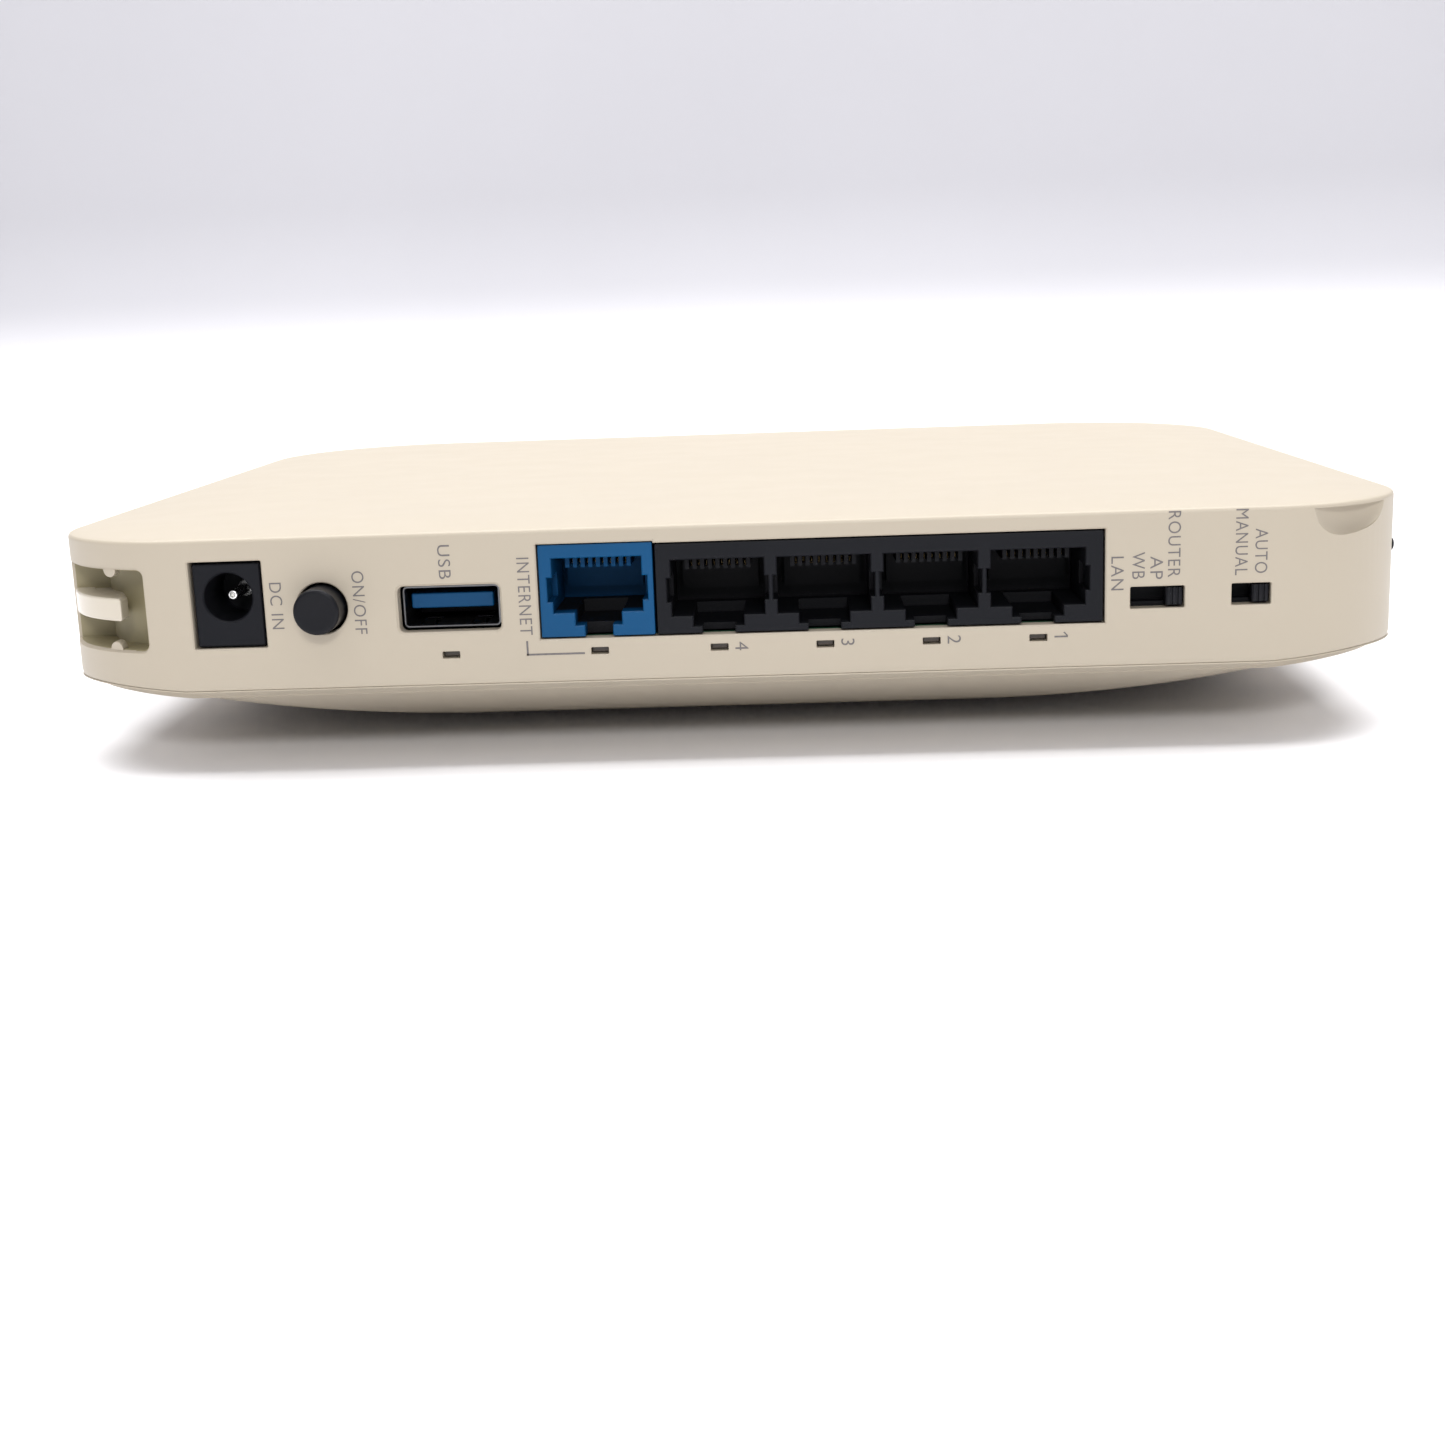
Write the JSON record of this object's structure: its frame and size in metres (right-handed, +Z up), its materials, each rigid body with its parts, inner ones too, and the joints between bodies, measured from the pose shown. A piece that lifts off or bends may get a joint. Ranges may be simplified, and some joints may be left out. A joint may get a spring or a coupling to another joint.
{
  "type": "wireless router",
  "caption": "Flat table-top wireless router with round corners and a domed underside, with network sockets, a power button and slide switches along one edge.",
  "frame": {"origin": "on the flat of the underside, at the middle of the body's outline in plan", "axes": "+Z up, with the object lying flat; the port side faces -Y; +X to the right of a person who looks at the ports"},
  "size_m": [0.1842, 0.1646, 0.0328],
  "materials": {
    "ivory_plastic": "satin moulded, fine spark texture",
    "board_laminate": "solder mask over laminate",
    "screw_steel": "zinc plated",
    "blue_plastic": "moulded",
    "black_plastic": "moulded",
    "contact_metal": "gold plated spring wire",
    "plated_steel": "nickel plated",
    "clear_plastic": "clear moulded",
    "ferrite": "moulded ferrite",
    "gap_pad": "soft pad",
    "sink_aluminium": "extruded",
    "cable_jacket": "moulded jacket"
  },
  "bodies": {
    "housing": {"top_cover": "ivory_plastic", "bottom_cover": "ivory_plastic", "main_board": "board_laminate", "low_band_antenna": "board_laminate", "high_band_antenna": "board_laminate", "case_screw_1": "screw_steel", "case_screw_2": "screw_steel", "case_screw_3": "screw_steel", "case_screw_4": "screw_steel", "board_screw_1": "screw_steel", "board_screw_2": "screw_steel", "board_screw_3": "screw_steel", "board_screw_4": "screw_steel", "wan_jack": "blue_plastic", "usb_tongue": "blue_plastic", "lan_jack": "black_plastic", "dc_jack_housing": "black_plastic", "power_switch_body": "black_plastic", "mode_switch_body": "black_plastic", "auto_switch_body": "black_plastic", "setup_switch_body": "black_plastic", "processor_chip": "black_plastic", "memory_chip": "black_plastic", "network_chip": "black_plastic", "wan_transformer": "black_plastic", "lan_transformer_1": "black_plastic", "lan_transformer_2": "black_plastic", "low_band_radio_chip": "black_plastic", "high_band_radio_chip": "black_plastic", "wan_contacts": "contact_metal", "lan_contacts_4": "contact_metal", "lan_contacts_3": "contact_metal", "lan_contacts_2": "contact_metal", "lan_contacts_1": "contact_metal", "dc_jack_pin": "plated_steel", "dc_jack_spring": "plated_steel", "usb_shell": "plated_steel", "low_band_radio_shield": "plated_steel", "high_band_radio_shield": "plated_steel", "supply_capacitor_1": "plated_steel", "supply_capacitor_2": "plated_steel", "usb_light_guide": "clear_plastic", "internet_light_guide": "clear_plastic", "lan_light_guide": "clear_plastic", "status_lamp_1": "clear_plastic", "status_lamp_2": "clear_plastic", "status_lamp_3": "clear_plastic", "status_lamp_4": "clear_plastic", "status_lamp_5": "clear_plastic", "status_lamp_6": "clear_plastic", "power_inductor": "ferrite", "thermal_pad": "gap_pad", "heat_sink": "sink_aluminium", "low_band_antenna_lead": "cable_jacket", "high_band_antenna_lead": "cable_jacket"},
    "power_button": {"power_button": "black_plastic"},
    "mode_slider": {"mode_slider": "black_plastic"},
    "auto_slider": {"auto_slider": "black_plastic"},
    "setup_button": {"setup_button": "black_plastic"}
  },
  "joints": [
    {"name": "power_press", "type": "slide", "parent": "housing", "child": "power_button", "axis": [0, 1, 0], "range_m": [0, 0.0018], "stiffness_N_per_m": 800, "springref_m": -0.0004},
    {"name": "mode_slide", "type": "slide", "parent": "housing", "child": "mode_slider", "axis": [-1, 0, 0], "range_m": [0, 0.0046]},
    {"name": "auto_slide", "type": "slide", "parent": "housing", "child": "auto_slider", "axis": [-1, 0, 0], "range_m": [0, 0.0026]},
    {"name": "setup_press", "type": "slide", "parent": "housing", "child": "setup_button", "axis": [-1, 0, 0], "range_m": [0, 0.0004], "stiffness_N_per_m": 900, "springref_m": -0.0004}
  ]
}
